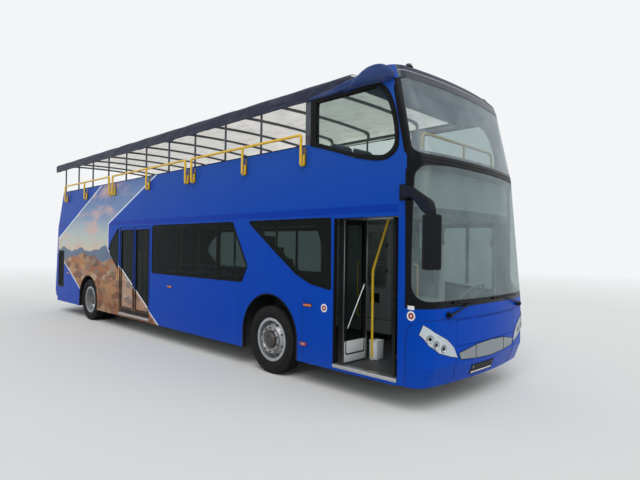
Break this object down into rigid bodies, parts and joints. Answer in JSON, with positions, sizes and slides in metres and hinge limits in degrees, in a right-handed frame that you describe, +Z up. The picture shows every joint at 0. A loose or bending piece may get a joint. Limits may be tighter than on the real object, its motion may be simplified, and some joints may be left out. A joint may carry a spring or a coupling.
{
  "type": "open top double decker bus",
  "caption": "Open top double decker sightseeing bus with a fabric canopy, a glazed nose, folding passenger doors, steering and rolling wheels.",
  "frame": {"origin": "on the ground under the middle of the bus's overall box", "axes": "+X towards the nose, +Y to the bus's left, +Z up"},
  "size_m": [12.13, 3.66, 3.9448],
  "materials": {
    "body_blue": "gloss",
    "frame_black": "matte",
    "floor_grey": "matte",
    "silver_trim": "gloss",
    "lamp_clear": "gloss",
    "lamp_red": "gloss",
    "lamp_amber": "gloss",
    "glass": "gloss",
    "canopy_cloth": "matte",
    "canopy_metal": "matte",
    "grille_black": "matte",
    "seat_plastic": "gloss",
    "seat_cloth": "matte",
    "cab_grey": "matte",
    "rail_yellow": "gloss",
    "tyre": "matte",
    "rim_silver": "gloss",
    "door_black": "gloss"
  },
  "bodies": {
    "bus": {"chassis_frame": "frame_black", "lower_floor": "floor_grey", "upper_floor": "floor_grey", "lower_wall_right": "body_blue", "lower_wall_left": "body_blue", "upper_wall_left": "body_blue", "upper_wall_right": "body_blue", "front_mask": "body_blue", "front_trim": "silver_trim", "headlamps": "lamp_clear", "front_frame": "body_blue", "windscreen_lower": "glass", "windscreen_upper": "glass", "front_roof": "body_blue", "canopy": "canopy_cloth", "canopy_roll": "canopy_cloth", "canopy_frame": "canopy_metal", "side_glass": "glass", "deck_glass": "glass", "rear_wall": "body_blue", "rear_glass": "glass", "engine_grilles": "grille_black", "engine": "frame_black", "tail_lamps": "lamp_red", "marker_lamps": "lamp_amber", "front_axle": "frame_black", "rear_axle": "frame_black", "stairs": "floor_grey", "lower_seats": "seat_plastic", "upper_seats": "seat_plastic", "driver_seat": "seat_cloth", "dashboard": "cab_grey", "cab_partition": "cab_grey", "grab_poles": "rail_yellow", "outer_rails": "rail_yellow", "mirrors": "grille_black", "wipers": "grille_black"},
    "left_knuckle": {"knuckle_left": "frame_black"},
    "right_knuckle": {"knuckle_right": "frame_black"},
    "front_left_wheel": {"front_tyre_left": "tyre", "front_rim_left": "rim_silver"},
    "front_right_wheel": {"front_tyre_right": "tyre", "front_rim_right": "rim_silver"},
    "rear_left_wheels": {"rear_tyres_left": "tyre", "rear_rims_left": "rim_silver"},
    "rear_right_wheels": {"rear_tyres_right": "tyre", "rear_rims_right": "rim_silver"},
    "front_flap": {"front_flap": "body_blue"},
    "engine_lid": {"engine_lid": "body_blue"},
    "front_door_rear_leaf": {"front_door_rear_leaf": "door_black", "front_door_rear_leaf_glass": "glass"},
    "front_door_front_leaf": {"front_door_front_leaf": "door_black", "front_door_front_leaf_glass": "glass"},
    "rear_door_rear_leaf": {"rear_door_rear_leaf": "door_black", "rear_door_rear_leaf_glass": "glass"},
    "rear_door_front_leaf": {"rear_door_front_leaf": "door_black", "rear_door_front_leaf_glass": "glass"}
  },
  "joints": [
    {"name": "steer_left", "type": "hinge", "parent": "bus", "child": "left_knuckle", "pos_m": [3.065, 0.98, 0.4785], "axis": [0, 0, 1], "range_deg": [-35, 35]},
    {"name": "steer_right", "type": "hinge", "parent": "bus", "child": "right_knuckle", "pos_m": [3.065, -0.98, 0.4785], "axis": [0, 0, 1], "range_deg": [-35, 35]},
    {"name": "front_left_spin", "type": "hinge", "parent": "left_knuckle", "child": "front_left_wheel", "pos_m": [3.065, 1.087, 0.4785], "axis": [0, 1, 0], "continuous": true},
    {"name": "front_right_spin", "type": "hinge", "parent": "right_knuckle", "child": "front_right_wheel", "pos_m": [3.065, -1.087, 0.4785], "axis": [0, 1, 0], "continuous": true},
    {"name": "rear_left_spin", "type": "hinge", "parent": "bus", "child": "rear_left_wheels", "pos_m": [-3.585, 0.932, 0.4785], "axis": [0, 1, 0], "continuous": true},
    {"name": "rear_right_spin", "type": "hinge", "parent": "bus", "child": "rear_right_wheels", "pos_m": [-3.585, -0.932, 0.4785], "axis": [0, 1, 0], "continuous": true},
    {"name": "front_flap_hinge", "type": "hinge", "parent": "bus", "child": "front_flap", "pos_m": [5.747, 0, 1.004], "axis": [0, -1, 0], "range_deg": [0, 70]},
    {"name": "engine_lid_hinge", "type": "hinge", "parent": "bus", "child": "engine_lid", "pos_m": [-6.0015, 0, 1.454], "axis": [0, 1, 0], "range_deg": [0, 80]},
    {"name": "front_door_rear_hinge", "type": "hinge", "parent": "bus", "child": "front_door_rear_leaf", "pos_m": [4.343, -1.168, 1.2], "axis": [0, 0, 1], "range_deg": [-90, 0]},
    {"name": "front_door_front_hinge", "type": "hinge", "parent": "bus", "child": "front_door_front_leaf", "pos_m": [5.232, -1.168, 1.2], "axis": [0, 0, 1], "range_deg": [0, 90]},
    {"name": "rear_door_rear_hinge", "type": "hinge", "parent": "bus", "child": "rear_door_rear_leaf", "pos_m": [-1.847, -1.168, 1.2], "axis": [0, 0, 1], "range_deg": [0, 90]},
    {"name": "rear_door_front_hinge", "type": "hinge", "parent": "bus", "child": "rear_door_front_leaf", "pos_m": [-0.543, -1.168, 1.2], "axis": [0, 0, 1], "range_deg": [-90, 0]}
  ],
  "couplings": [
    {"joint": "steer_right", "follows": "steer_left", "ratio": 1}
  ]
}
